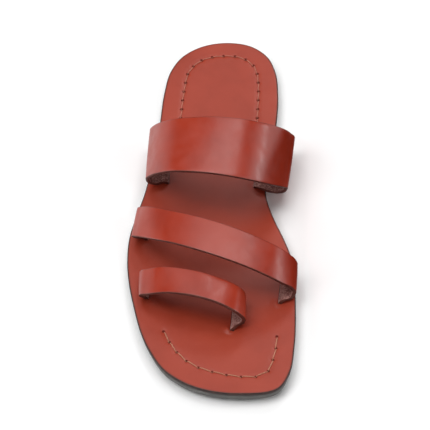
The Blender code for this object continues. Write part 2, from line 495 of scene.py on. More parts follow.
class Recipe:
    """A material's node tree, with short ways to add and join its nodes."""

    def __init__(self, name: str) -> None:
        """Starts a material with a Principled shader.

        Args:
            name: The material's name.
        """
        self.material = bpy.data.materials.new(name)
        self.material.use_nodes = True
        self.tree = self.material.node_tree
        self.shader = self.tree.nodes["Principled BSDF"]
        coordinates = self.add("ShaderNodeTexCoord")
        self.place = coordinates.outputs["Object"]
        self.uv = coordinates.outputs["UV"]

    def add(self, kind: str, **settings: object) -> bpy.types.Node:
        """Adds a node.

        Args:
            kind: The node's type.
            settings: Its properties by name.

        Returns:
            The node.
        """
        node = self.tree.nodes.new(kind)
        for key, value in settings.items():
            setattr(node, key, value)
        return node

    def join(self, source: Socket, target: Socket) -> None:
        """Links two sockets."""
        self.tree.links.new(source, target)

    @staticmethod
    def dial(node: bpy.types.Node, **values: object) -> None:
        """Sets a node's sockets, named with underscores for spaces."""
        for key, value in values.items():
            node.inputs[key.replace("_", " ")].default_value = value

    def set(self, **values: object) -> None:
        """Sets the shader's own sockets."""
        self.dial(self.shader, **values)

    def feed(self, socket: str, source: Socket) -> None:
        """Links a source to one of the shader's sockets."""
        self.join(source, self.shader.inputs[socket])

    def axis(self, vector: Socket, letter: str) -> Socket:
        """One axis of a vector.

        Args:
            vector: The vector.
            letter: X, Y or Z.

        Returns:
            The value along that axis.
        """
        node = self.add("ShaderNodeSeparateXYZ")
        self.join(vector, node.inputs["Vector"])
        return node.outputs[letter]

    def stretched(self, scale: Triple, place: Socket | None = None) -> Socket:
        """Coordinates scaled by axis.

        Args:
            scale: Scale along X, Y and Z.
            place: Coordinates other than the object's own.

        Returns:
            The scaled coordinates.
        """
        node = self.add("ShaderNodeMapping")
        self.dial(node, Scale=scale)
        self.join(place or self.place, node.inputs["Vector"])
        return node.outputs["Vector"]

    def noise(self, size: float, detail: float, rough: float = 0.5, place: Socket | None = None) -> Socket:
        """Noise with features of a real size.

        Args:
            size: Rough size of a feature in metres, or in the given place's units.
            detail: Octaves.
            rough: Weight of the finer octaves.
            place: Coordinates other than the object's own.

        Returns:
            The noise, from 0 to 1.
        """
        node = self.add("ShaderNodeTexNoise")
        self.dial(node, Scale=1 / size, Detail=detail, Roughness=rough)
        self.join(place or self.place, node.inputs["Vector"])
        return node.outputs["Fac"]

    def cells(self, size: float) -> Socket:
        """Cells of a real size.

        Args:
            size: Rough size of a cell in metres.

        Returns:
            The distance from the middle of the nearest cell.
        """
        node = self.add("ShaderNodeTexVoronoi")
        self.dial(node, Scale=1 / size)
        self.join(self.place, node.inputs["Vector"])
        return node.outputs["Distance"]

    def ramp(self, factor: Socket, *stops: tuple[float, Colour]) -> Socket:
        """Colours spread over a factor.

        Args:
            factor: The factor.
            stops: Positions with their linear colours.

        Returns:
            The colour.
        """
        node = self.add("ShaderNodeValToRGB")
        elements = node.color_ramp.elements
        for position, _ in stops[1:-1]:
            elements.new(position)
        for element, (position, colour) in zip(elements, stops):
            element.position = position
            element.color = (*colour, 1)
        self.join(factor, node.inputs["Fac"])
        return node.outputs["Color"]

    def span(self, value: Socket, low: float, high: float, to_low: float, to_high: float) -> Socket:
        """A value's range spread smoothly over another range.

        Args:
            value: The value.
            low: Its value at the start.
            high: Its value at the end.
            to_low: The result at the start.
            to_high: The result at the end.

        Returns:
            The result.
        """
        node = self.add("ShaderNodeMapRange", interpolation_type="SMOOTHSTEP")
        self.dial(node, From_Min=low, From_Max=high, To_Min=to_low, To_Max=to_high)
        self.join(value, node.inputs["Value"])
        return node.outputs["Result"]

    def blend(self, factor: Socket, base: Socket, over: Colour) -> Socket:
        """A plain colour laid over another.

        Args:
            factor: How much of it shows.
            base: The colour below.
            over: The colour above.

        Returns:
            The mixed colour.
        """
        node = self.add("ShaderNodeMix", data_type="RGBA")
        # The node has sockets for every data type, and these are its colour sockets.
        factor_in, base_in, over_in = (node.inputs[i] for i in (0, 6, 7))
        over_in.default_value = (*over, 1)
        self.join(factor, factor_in)
        self.join(base, base_in)
        return node.outputs[2]

    def sums(self, *terms: tuple[Socket, float]) -> Socket:
        """Heights added up.

        Args:
            terms: Each height with its weight.

        Returns:
            The sum.
        """
        total = None
        for source, weight in terms:
            node = self.add("ShaderNodeMath", operation="MULTIPLY_ADD")
            self.join(source, node.inputs[0])
            node.inputs[1].default_value = weight
            node.inputs[2].default_value = 0
            if total is not None:
                self.join(total, node.inputs[2])
            total = node.outputs["Value"]
        return total

    def bump(self, height: Socket, depth: float, strength: float = 1.0) -> None:
        """Raises the surface by a height.

        Args:
            height: The height, from 0 to 1.
            depth: Its real depth in metres.
            strength: How strongly it shows.
        """
        node = self.add("ShaderNodeBump")
        self.dial(node, Distance=depth, Strength=strength)
        self.join(height, node.inputs["Height"])
        self.feed("Normal", node.outputs["Normal"])


@dataclass(frozen=True)
class GrainLeather:
    """Smooth dyed leather with fine pores, faint mottling and edges darkened by burnishing.

    Stops and ranges are values of their noise. Shares say how much of a colour shows, and pore_relief how
    much of the relief is pores.
    """

    name: str
    deep: Colour
    body: Colour
    bloom: Colour
    burnish: Colour
    burnish_width: float
    shine: Range
    gloss: float
    burnish_share: float = 0.75
    mottle_size: float = 26 * MM
    mottle_stops: Triple = (0.3, 0.5, 0.72)
    pore_size: float = 0.55 * MM
    pore_range: Range = (0.56, 0.76)
    pore_share: float = 0.22
    shine_size: float = 6 * MM
    shine_range: Range = (0.3, 0.7)
    grain_size: float = 1.4 * MM
    pore_relief: float = 0.5
    grain_depth: float = 0.05 * MM
    grain_strength: float = 0.5

    def make(self) -> Material:
        """Makes the material, for a UV whose height is the distance from the leather's edge.

        Returns:
            The material.
        """
        recipe = Recipe(self.name)
        mottle = recipe.noise(self.mottle_size, detail=4, rough=0.55)
        colour = recipe.ramp(mottle, *zip(self.mottle_stops, (self.deep, self.body, self.bloom)))
        speckle = recipe.noise(self.pore_size, detail=2)
        colour = recipe.blend(recipe.span(speckle, *self.pore_range, 0, self.pore_share), colour, self.deep)
        distance = recipe.axis(recipe.uv, "Y")
        near_edge = recipe.span(distance, 0, self.burnish_width, self.burnish_share, 0)
        recipe.feed("Base Color", recipe.blend(near_edge, colour, self.burnish))
        polish = recipe.noise(self.shine_size, detail=4)
        recipe.feed("Roughness", recipe.span(polish, *self.shine_range, *self.shine))
        pores = recipe.cells(self.pore_size)
        creases = recipe.noise(self.grain_size, detail=4, rough=0.6)
        height = recipe.sums((pores, self.pore_relief), (creases, 1 - self.pore_relief))
        recipe.bump(height, self.grain_depth, self.grain_strength)
        recipe.set(Specular_IOR_Level=self.gloss)
        return recipe.material


@dataclass(frozen=True)
class Suede:
    """The flesh side of the strap leather: a short nap, brushed along the strap and hatched across it.

    Above a set height, under the top of each arch, it is painted darker and redder: painted shade that
    deepens the shade on the footbed below.
    """

    name: str
    shade: Colour
    body: Colour
    fibre: Colour
    # Painted shade under the tops of the arches: its colour, the heights over which it comes in, and how
    # much of it shows.
    arch_shade: Colour
    arch_shade_heights: Range = (19 * MM, 28 * MM)
    arch_shade_share: float = 0.85
    patch_size: float = 4 * MM
    patch_stops: Range = (0.3, 0.62)
    fibre_width: float = 0.5 * MM
    fibre_stretch: float = 0.25
    fibre_range: Range = (0.46, 0.58)
    fibre_share: float = 0.95
    hatching_share: float = 0.38
    nap_depth: float = 0.3 * MM
    nap_strength: float = 0.7
    nap_share: float = 0.75

    def make(self) -> Material:
        """Makes the material, for a UV that runs along the strap.

        Returns:
            The material.
        """
        recipe = Recipe(self.name)
        patches = recipe.noise(self.patch_size, detail=5, rough=0.65)
        colour = recipe.ramp(patches, *zip(self.patch_stops, (self.shade, self.body)))
        lengthwise = recipe.stretched((self.fibre_stretch, 1, 1), place=recipe.uv)
        crosswise = recipe.stretched((1, self.fibre_stretch, 1), place=recipe.uv)
        strokes = recipe.noise(self.fibre_width, detail=4, rough=0.7, place=lengthwise)
        hatching = recipe.noise(self.fibre_width, detail=4, rough=0.7, place=crosswise)
        fibres = recipe.sums((strokes, 1 - self.hatching_share), (hatching, self.hatching_share))
        shown = recipe.span(fibres, *self.fibre_range, 0, self.fibre_share)
        colour = recipe.blend(shown, colour, self.fibre)
        # Painted shade: above a set height the suede turns darker and redder.
        wear_and_painted_shade = recipe.span(recipe.axis(recipe.place, "Z"), *self.arch_shade_heights, 0, self.arch_shade_share)
        recipe.feed("Base Color", recipe.blend(wear_and_painted_shade, colour, self.arch_shade))
        height = recipe.sums((fibres, self.nap_share), (patches, 1 - self.nap_share))
        recipe.bump(height, self.nap_depth, self.nap_strength)
        recipe.set(Roughness=0.95, Specular_IOR_Level=0.2, Sheen_Weight=0.25, Sheen_Roughness=0.5)
        return recipe.material


@dataclass(frozen=True)
class EdgePaint:
    """Dark paint over cut leather, worn to a lighter brown in places."""

    name: str
    body: Colour
    wear_and_painted_shade: Colour
    wear_size: float = 4 * MM
    wear_stops: Range = (0.45, 0.75)
    layer_size: float = 0.5 * MM
    layer_stretch: float = 0.2
    layer_depth: float = 0.08 * MM
    layer_strength: float = 0.5
    shine_range: Range = (0.3, 0.7)
    shine: Range = (0.5, 0.7)

    def make(self) -> Material:
        """Makes the material.

        Returns:
            The material.
        """
        recipe = Recipe(self.name)
        wear = recipe.noise(self.wear_size, detail=6, rough=0.7)
        recipe.feed("Base Color", recipe.ramp(wear, *zip(self.wear_stops, (self.body, self.wear_and_painted_shade))))
        level = recipe.stretched((self.layer_stretch, self.layer_stretch, 1))
        layers = recipe.noise(self.layer_size, detail=3, place=level)
        recipe.bump(layers, self.layer_depth, self.layer_strength)
        recipe.feed("Roughness", recipe.span(wear, *self.shine_range, *self.shine))
        recipe.set(Specular_IOR_Level=0.3)
        return recipe.material


@dataclass(frozen=True)
class SoleRubber:
    """Grey sole rubber with a dusty, faintly mottled skin."""

    name: str
    shade: Colour
    body: Colour
    dust: Colour
    mottle_size: float = 9 * MM
    mottle_stops: Triple = (0.35, 0.55, 0.75)
    grit_size: float = 0.35 * MM
    grit_range: Range = (0.6, 0.75)
    grit_share: float = 0.35
    scuff_size: float = 0.8 * MM
    scuff_stretch: float = 0.25
    scuff_share: float = 0.4
    skin_depth: float = 0.06 * MM
    skin_strength: float = 0.6
    shine_range: Range = (0.3, 0.7)
    shine: Range = (0.62, 0.8)

    def make(self) -> Material:
        """Makes the material.

        Returns:
            The material.
        """
        recipe = Recipe(self.name)
        mottle = recipe.noise(self.mottle_size, detail=5, rough=0.6)
        colour = recipe.ramp(mottle, *zip(self.mottle_stops, (self.shade, self.body, self.dust)))
        grit = recipe.noise(self.grit_size, detail=3)
        shown = recipe.span(grit, *self.grit_range, 0, self.grit_share)
        recipe.feed("Base Color", recipe.blend(shown, colour, self.dust))
        upright = recipe.stretched((1, 1, self.scuff_stretch))
        scuffs = recipe.noise(self.scuff_size, detail=4, place=upright)
        height = recipe.sums((grit, 1 - self.scuff_share), (scuffs, self.scuff_share))
        recipe.bump(height, self.skin_depth, self.skin_strength)
        recipe.feed("Roughness", recipe.span(mottle, *self.shine_range, *self.shine))
        recipe.set(Specular_IOR_Level=0.4)
        return recipe.material


@dataclass(frozen=True)
class WaxedThread:
    """Tan sewing thread, twisted from plies and waxed."""

    name: str
    # Painted shade: the dark colour laid into the troughs between the plies.
    painted_ply_shade: Colour
    shade: Colour
    body: Colour
    plies: int = 3
    turns: float = 4.0
    ply_depth: float = 0.12 * MM
    ply_strength: float = 0.9
    ply_share: float = 0.85
    ply_shade_range: Range = (0.0, 0.45)
    fibre_size: float = 0.25 * MM
    fibre_stops: Range = (0.35, 0.6)
    wave_unit: float = 10.0

    def make(self) -> Material:
        """Makes the material, for the UV that a cylinder is added with: round it and along it.

        Returns:
            The material.
        """
        recipe = Recipe(self.name)
        fibres = recipe.noise(self.fibre_size, detail=3)
        colour = recipe.ramp(fibres, *zip(self.fibre_stops, (self.shade, self.body)))
        # A diagonal wave repeats every 2 pi / wave_unit.
        # The side of a cylinder takes up half of its UV's height.
        round_it = 2 * pi * self.plies / self.wave_unit
        along_it = 2 * round_it * self.turns
        twist = recipe.add("ShaderNodeTexWave", bands_direction="DIAGONAL")
        recipe.dial(twist, Scale=1)
        recipe.join(recipe.stretched((round_it, along_it, 1), place=recipe.uv), twist.inputs["Vector"])
        strand = twist.outputs["Fac"]
        # Painted shade: the troughs of the twist between the plies are coloured dark.
        ply_shade_mask = recipe.span(strand, *self.ply_shade_range, self.ply_share, 0)
        recipe.feed("Base Color", recipe.blend(ply_shade_mask, colour, self.painted_ply_shade))
        height = recipe.sums((strand, self.ply_share), (fibres, 1 - self.ply_share))
        recipe.bump(height, self.ply_depth, self.ply_strength)
        recipe.set(Roughness=0.65, Specular_IOR_Level=0.25, Sheen_Weight=0.05)
        return recipe.material


@dataclass(frozen=True)
class Finishes:
    """The sandal's materials."""

    strap: Material
    footbed: Material
    suede: Material
    strap_edge: Material
    footbed_edge: Material
    hole: Material
    rubber: Material
    toe_thread: Material
    heel_thread: Material

    @classmethod
    def mix(cls) -> "Finishes":
        """Makes all the materials. Colours are linear.

        Returns:
            The materials.
        """
        return cls(
            strap=GrainLeather(
                name="strap_leather",
                deep=(0.27, 0.0205, 0.006),
                body=(0.325, 0.027, 0.0085),
                bloom=(0.36, 0.033, 0.0115),
                burnish=(0.11, 0.014, 0.008),
                burnish_width=0.7 * MM,
                shine=(0.33, 0.43),
                gloss=0.58,
            ).make(),
            footbed=GrainLeather(
                name="footbed_leather",
                deep=(0.295, 0.034, 0.0145),
                body=(0.34, 0.041, 0.0185),
                bloom=(0.365, 0.047, 0.022),
                burnish=(0.08, 0.015, 0.01),
                burnish_width=1.7 * MM,
                shine=(0.36, 0.44),
                gloss=0.36,
            ).make(),
            suede=Suede(
                name="strap_suede",
                shade=(0.12, 0.034, 0.028),
                body=(0.22, 0.075, 0.062),
                fibre=(0.56, 0.3, 0.26),
                # Painted shade for the suede under the tops of the arches.
                arch_shade=(0.13, 0.022, 0.014),
            ).make(),
            strap_edge=EdgePaint(
                name="strap_edge_paint",
                body=(0.1, 0.026, 0.018),
                wear_and_painted_shade=(0.2, 0.07, 0.05),
            ).make(),
            footbed_edge=EdgePaint(
                name="footbed_edge_paint",
                body=(0.03, 0.018, 0.016),
                wear_and_painted_shade=(0.09, 0.05, 0.04),
            ).make(),
            hole=EdgePaint(
                name="pricked_leather",
                body=(0.2, 0.026, 0.015),
                wear_and_painted_shade=(0.26, 0.042, 0.026),
            ).make(),
            rubber=SoleRubber(
                name="sole_rubber",
                shade=(0.1, 0.097, 0.091),
                body=(0.14, 0.136, 0.128),
                dust=(0.205, 0.2, 0.19),
            ).make(),
            toe_thread=WaxedThread(
                name="toe_thread",
                # The first colour is painted shade between the plies.
                painted_ply_shade=(0.16, 0.03, 0.014),
                shade=(0.44, 0.15, 0.085),
                body=(0.74, 0.36, 0.23),
            ).make(),
            heel_thread=WaxedThread(
                name="heel_thread",
                # The first colour is painted shade between the plies.
                painted_ply_shade=(0.2, 0.035, 0.02),
                shade=(0.46, 0.13, 0.085),
                body=(0.66, 0.27, 0.19),
            ).make(),
        )


# Sub-assemblies


@dataclass(frozen=True)
class SoleShape:
    """The outline, heights and toe spring that the layers, the seams and the straps share."""

    outsole_thickness: float = 4.5 * MM
    glue_line: float = 0.3 * MM
    insole_thickness: float = 2.5 * MM
    toe_spring: float = 2.5 * MM
    spring_start_y: float = -60 * MM
    toe_tip_y: float = -130.3 * MM
    heel_fan_y: float = 96 * MM
    toe_fan_y: float = -88 * MM
    steps: int = 22

    def lift(self, y: float) -> float:
        """How far the toe spring raises the sole at y."""
        past = max(0, (self.spring_start_y - y) / (self.spring_start_y - self.toe_tip_y))
        return self.toe_spring * past**2

    def outsole_top(self) -> float:
        """Height of the outsole's top, short of the toe spring."""
        return self.outsole_thickness + self.glue_line

    def footbed(self, y: float) -> float:
        """Height of the footbed at y."""
        return self.outsole_top() + self.insole_thickness + self.lift(y)

    def outline(self) -> list[Vector]:
        """Closed outline, from the heel tip down the outer side to the toe and back up the inner side.

        Returns:
            The outline's points, at z = 0.
        """
        outer = [Vector((s.outer_x, s.outer_y, 0)) * MM for s in SOLE_STATIONS]
        inner = [Vector((s.inner_x, s.inner_y, 0)) * MM for s in SOLE_STATIONS]
        return smooth_through(outer + inner[-2:0:-1], self.steps, closed=True)

    def drawn_in(self, outline: list[Vector], distance: float) -> list[Vector]:
        """The outline moved inwards.

        Args:
            outline: The closed outline.
            distance: How far it moves.

        Returns:
            The moved outline.
        """
        moved = []
        for i, point in enumerate(outline):
            along = outline[(i + 1) % len(outline)] - outline[i - 1]
            inwards = Vector((-along.y, along.x, 0)).normalized()
            moved.append(point + inwards * distance)
        return moved

    def spine(self, outline: list[Vector]) -> list[Vector]:
        """The point of the sole's middle line that belongs to each point of the outline.

        Args:
            outline: The closed outline.

        Returns:
            One point for each, fanned out from two end points at the heel and the toe.
        """
        count = len(outline)
        middles = [(outline[i] + outline[-i % count]) / 2 for i in range(count // 2 + 1)]
        held = [i for i, p in enumerate(middles) if self.toe_fan_y < p.y < self.heel_fan_y]
        rows = [min(i, count - i) for i in range(count)]
        return [middles[min(max(row, held[0]), held[-1])] for row in rows]

    def rings(self, outline: list[Vector], count: int) -> Rows:
        """Rings from the spine out to an outline, without the outline itself.

        Args:
            outline: The closed outline.
            count: How many rings.

        Returns:
            The rings, each closed by repeating its first point.
        """
        spine = self.spine(outline)
        rows = []
        for k in range(count):
            ring = [s.lerp(p, k / count) for p, s in zip(outline, spine)]
            rows.append(ring + ring[:1])
        return rows


@dataclass
class Seam:
    """A line of hand stitches in a shallow groove of the footbed."""

    label: str
    points: tuple[tuple[float, float], ...]
    pitch: float
    thread_radius: float
    hole_radius: float
    shape: SoleShape
    thread: Material
    groove_depth: float = 0.2 * MM
    groove_width: float = 1.1 * MM
    dimple_depth: float = 0.25 * MM
    dimple_radius: float = 1.4 * MM
    hole_depth: float = 0.8 * MM
    hole_flare: tuple[float, float] = (0.4, 1.6)
    hole_sides: int = 12
    thread_sides: int = 10
    thread_cuts: int = 11
    seat: float = 0.8
    taper: float = 0.5
    taper_power: int = 4
    dive: float = 1.3 * MM
    dive_power: int = 5
    slant: float = 0.3 * MM
    smooth_below: float = radians(50)
    steps: int = 24
    path: list[Vector] = field(init=False)

    def __post_init__(self) -> None:
        """Draws the seam's path."""
        knots = [Vector((x, y, 0)) * MM for x, y in self.points]
        self.path = smooth_through(knots, self.steps)

    def holes(self) -> list[Vector]:
        """The needle holes, a pitch apart along the path.

        Returns:
            Their places on the footbed.
        """
        runs = run_lengths(self.path)
        count = round(runs[-1] / self.pitch)
        holes = []
        i = 0
        for n in range(count + 1):
            target = runs[-1] * n / count
            while i < len(runs) - 2 and runs[i + 1] < target:
                i += 1
            share = (target - runs[i]) / (runs[i + 1] - runs[i])
            spot = self.path[i].lerp(self.path[i + 1], share)
            spot.z = self.shape.footbed(spot.y)
            holes.append(spot)
        return holes

    def hole_cutter(self) -> Piece:
        """Cones for all the needle holes, wider at the top.

        Returns:
            The joined cones.
        """
        cones = []
        # Half of each cone stands above the leather.
        bottom, top = self.hole_flare
        for spot in self.holes():
            Bench.clear()
            bpy.ops.mesh.primitive_cone_add(
                vertices=self.hole_sides,
                radius1=self.hole_radius * bottom,
                radius2=self.hole_radius * top,
                depth=2 * self.hole_depth,
                location=spot - Vector((0, 0, self.groove_depth + self.dimple_depth)),
            )
            cones.append(bpy.context.active_object)
        return Bench.join(cones, f"{self.label}_holes")

    def one_stitch(self, length: float) -> Piece:
        """A thread that arches over the leather and dives into a hole at each end.

        Args:
            length: Distance between its two holes.

        Returns:
            The stitch, along X about the origin.
        """
        Bench.clear()
        bpy.ops.mesh.primitive_cylinder_add(
            vertices=self.thread_sides, radius=self.thread_radius, depth=length, rotation=(0, pi / 2, 0)
        )
        stitch = Bench.name(f"{self.label}_stitch")
        bpy.ops.object.transform_apply()
        bpy.ops.object.mode_set(mode="EDIT")
        bpy.ops.mesh.select_mode(type="EDGE")
        bpy.ops.mesh.select_all(action="DESELECT")
        bpy.ops.object.mode_set(mode="OBJECT")
        points = stitch.data.vertices
        for edge in stitch.data.edges:
            a, b = (points[i].co for i in edge.vertices)
            edge.select = abs(a.x - b.x) > length / 2
        bpy.ops.object.mode_set(mode="EDIT")
        bpy.ops.mesh.subdivide(number_cuts=self.thread_cuts)
        bpy.ops.object.mode_set(mode="OBJECT")
        rise = self.thread_radius * self.seat - self.groove_depth
        for point in points:
            reach = abs(point.co.x) / (length / 2)
            point.co.y *= 1 - self.taper * reach**self.taper_power
            point.co.z += rise - self.dive * reach**self.dive_power
        return stitch

    def sew(self) -> None:
        """Makes the stitches and dresses them. Each slants a little, as a saddle stitch does."""
        holes = self.holes()
        stitches = []
        pattern = self.one_stitch(self.pitch)
        for start, end in zip(holes, holes[1:]):
            aside = Vector((0, 0, 1)).cross(end - start).normalized() * self.slant
            a, b = start + aside, end - aside
            along = b - a
            copy = pattern.copy()
            copy.data = pattern.data.copy()
            bpy.context.collection.objects.link(copy)
            copy.location = (a + b) / 2
            copy.rotation_euler = along.to_track_quat("X", "Z").to_euler()
            copy.scale.x = along.length / self.pitch
            stitches.append(copy)
        bpy.data.objects.remove(pattern)
        seam = Bench.join(stitches, self.label)
        Bench.coat(seam, self.thread)
        Bench.smooth(seam, self.smooth_below)
        Bench.fit(seam, Node.INSOLE)


@dataclass
class Strap:
    """A leather strap that rises from one slit of the footbed, arches over the foot and ends in another."""

    node: Node
    folds: tuple[Fold, ...]
    width: float
    shape: SoleShape
    thickness: float = 2.2 * MM
    slit_clearance: float = 0.1 * MM
    slit_reach: float = 10 * MM
    mouth_height: float = 0.4 * MM
    edge_round: float = 0.45 * MM
    bevel_segments: int = 3
    bevel_above: float = radians(50)
    smooth_below: float = radians(40)
    crown: float = 0.2 * MM
    steps: int = 10
    columns: int = 20

    def fold_line(self, fold: Fold, height: float = 0.0) -> tuple[Vector, Vector]:
        """The ends of a fold, set to the strap's width about the fold's middle.

        Args:
            fold: The fold.
            height: How far it is raised.

        Returns:
            Its front end and its back end.
        """
        ends = []
        for x, y, h in (fold[:3], fold[3:]):
            ends.append(Vector((x * MM, y * MM, self.shape.footbed(y * MM) + h * MM + height)))
        front, back = ends
        middle, half = (front + back) / 2, (back - front).normalized() * self.width / 2
        return middle - half, middle + half

    def edges(self) -> tuple[list[Vector], list[Vector]]:
        """The strap's two edges, from the bottom of one slit to the bottom of the other.

        Returns:
            The points of the front edge and of the back edge.
        """
        depth = -self.shape.insole_thickness
        first, last = self.folds[0], self.folds[-1]
        lines = [self.fold_line(first, depth), self.fold_line(first, self.mouth_height)]
        lines += [self.fold_line(fold) for fold in self.folds[1:-1]]
        lines += [self.fold_line(last, self.mouth_height), self.fold_line(last, depth)]
        fronts, backs = (list(edge) for edge in zip(*lines))
        return smooth_through(fronts, self.steps), smooth_through(backs, self.steps)

    def sheet(self) -> Piece:
        """The strap's middle surface, with a faint crown across it.

        Returns:
            The surface, without thickness.
        """
        fronts, backs = self.edges()
        rows, distances = [], []
        last = len(fronts) - 1
        for i, (front, back) in enumerate(zip(fronts, backs)):
            along = fronts[min(i + 1, last)] - fronts[max(i - 1, 0)]
            outwards = along.cross(back - front).normalized()
            row, distance = [], []
            for j in range(self.columns + 1):
                v = j / self.columns
                row.append(front.lerp(back, v) + outwards * self.crown * (1 - (2 * v - 1) ** 2))
                distance.append(min(v, 1 - v) * self.width)
            rows.append(row)
            distances.append(distance)
        return Bench.sheet(self.node.value + "_leather", rows, distances)

    def build(self, finishes: Finishes) -> None:
        """Makes the strap and dresses it.

        Args:
            finishes: The sandal's materials.
        """
        strap = self.sheet()
        Bench.coat(strap, finishes.strap, finishes.suede, finishes.strap_edge)
        Bench.apply(
            strap,
            "SOLIDIFY",
            thickness=self.thickness,
            offset=0,
            use_even_offset=True,
            material_offset=Slot.FLESH,
            material_offset_rim=Slot.EDGE,
        )
        Bench.apply(
            strap,
            "BEVEL",
            width=self.edge_round,
            segments=self.bevel_segments,
            limit_method="ANGLE",
            angle_limit=self.bevel_above,
        )
        Bench.smooth(strap, self.smooth_below)
        Bench.fit(strap, self.node, self.node)

    def slit_cutters(self) -> list[Piece]:
        """Boxes that cut the strap's two slits through the insole.

        Returns:
            The two boxes.
        """
        cutters = []
        for fold in (self.folds[0], self.folds[-1]):
            front, back = self.fold_line(fold)
            along = back - front
            gap = 2 * self.slit_clearance
            Bench.clear()
            bpy.ops.mesh.primitive_cube_add(
                size=1,
                location=(front + back) / 2,
                rotation=(0, 0, atan2(along.y, along.x) - pi / 2),
                scale=(self.thickness + gap, self.width + gap, self.slit_reach),
            )
            cutters.append(bpy.context.active_object)
        return cutters


class Relief:
    """Low relief of the footbed: the sunk stitch lines and the lips beside the slits."""

    def __init__(self, seams: list[Seam]) -> None:
        """Args:
            seams: The footbed's seams.
        """
        self.seams = seams
        self.paths = [self.filed(seam.path) for seam in seams]
        self.holes = [self.filed(seam.holes()) for seam in seams]

    @staticmethod
    def filed(points: list[Vector]) -> KDTree:
        """Files points by their place on the plan.

        Args:
            points: The points.

        Returns:
            The look-up tree.
        """
        tree = KDTree(len(points))
        for i, point in enumerate(points):
            tree.insert((point.x, point.y, 0), i)
        tree.balance()
        return tree

    def at(self, point: Vector) -> float:
        """Height of the relief.

        Args:
            point: A point of the footbed, at z = 0.

        Returns:
            The height above the plain footbed.
        """
        height = 0.0
        for seam, path, holes in zip(self.seams, self.paths, self.holes):
            off = path.find(point)[2] / seam.groove_width
            height -= seam.groove_depth * exp(-(off**2))
            off = holes.find(point)[2] / seam.dimple_radius
            height -= seam.dimple_depth * exp(-(off**2))
        for lip in SLIT_PUCKERS:
            off = ((point.x / MM - lip.x) ** 2 + (point.y / MM - lip.y) ** 2) / lip.radius**2
            height += lip.height * MM * exp(-off)
        return height


@dataclass
class Insole:
    """The leather footbed, with a painted edge, strap slits and stitch grooves.

    Its lean, rounds and margin are in mm, as its rings are.
    """

    shape: SoleShape
    straps: list[Strap]
    seams: list[Seam]
    rim_round: float = 0.9
    rim_steps: int = 4
    lean: float = 0.3
    belly: float = 0.6
    foot_round: float = 0.15
    ring_count: int = 42
    bottom_margin: float = 1.0
    bottom_rings: int = 3
    smooth_below: float = radians(40)

    def rims(self) -> list[Rim]:
        """Rings of the rim and the side, from the top face down to the underside.

        Returns:
            The rings.
        """
        thickness = self.shape.insole_thickness / MM
        rims = rounded(self.rim_round, self.rim_steps)
        rims.append(Rim(self.lean / 2, thickness * self.belly))
        rims.append(Rim(self.lean, thickness - self.foot_round))
        rims.append(Rim(self.lean + self.foot_round, thickness))
        return rims

    def build(self, finishes: Finishes) -> None:
        """Makes the footbed and dresses it.

        Args:
            finishes: The sandal's materials.
        """
        shape, relief, rims = self.shape, Relief(self.seams), self.rims()
        outline = shape.outline()
        face = shape.drawn_in(outline, self.rim_round * MM)
        border = face + face[:1]

        rows, distances = [], []
        for ring in shape.rings(face, self.ring_count):
            rows.append([Vector((p.x, p.y, shape.footbed(p.y) + relief.at(p))) for p in ring])
            distances.append([(p - q).length + self.rim_round * MM for p, q in zip(ring, border)])
        for inset, drop in rims:
            ring = shape.drawn_in(outline, inset * MM)
            ring += ring[:1]
            rows.append([Vector((p.x, p.y, shape.footbed(p.y) - drop * MM)) for p in ring])
            distances.append([inset * MM] * len(ring))
        below = shape.drawn_in(outline, (self.lean + self.bottom_margin) * MM)
        for ring in reversed(shape.rings(below, self.bottom_rings)):
            rows.append([Vector((p.x, p.y, shape.footbed(p.y) - rims[-1].drop * MM)) for p in ring])
            distances.append([self.lean * MM] * len(ring))

        insole = Bench.sheet("insole_leather", rows, distances)
        Bench.coat(insole, finishes.footbed, finishes.suede, finishes.footbed_edge, finishes.hole)
        self.paint_edge(insole, len(rims))
        Bench.weld(insole)
        cutters = [cutter for strap in self.straps for cutter in strap.slit_cutters()]
        Bench.cut(insole, Bench.join(cutters, "slits"), Slot.EDGE)
        for seam in self.seams:
            Bench.cut(insole, seam.hole_cutter(), Slot.HOLE)
        Bench.smooth(insole, self.smooth_below)
        Bench.fit(insole, Node.INSOLE, Node.INSOLE)

    def paint_edge(self, insole: Piece, rim_rows: int) -> None:
        """Gives the side and the underside their own finishes, by the row of rings that a face is in.

        Args:
            insole: The footbed's unwelded sheet.
            rim_rows: Rings on its rim and side.
        """
        edge_start = self.ring_count + 1
        edge_end = self.ring_count + rim_rows - 1
        spans = edge_end + self.bottom_rings
        for face in insole.data.polygons:
            row = face.index % spans
            if row >= edge_end:
                face.material_index = Slot.FLESH
            elif row >= edge_start:
                face.material_index = Slot.EDGE


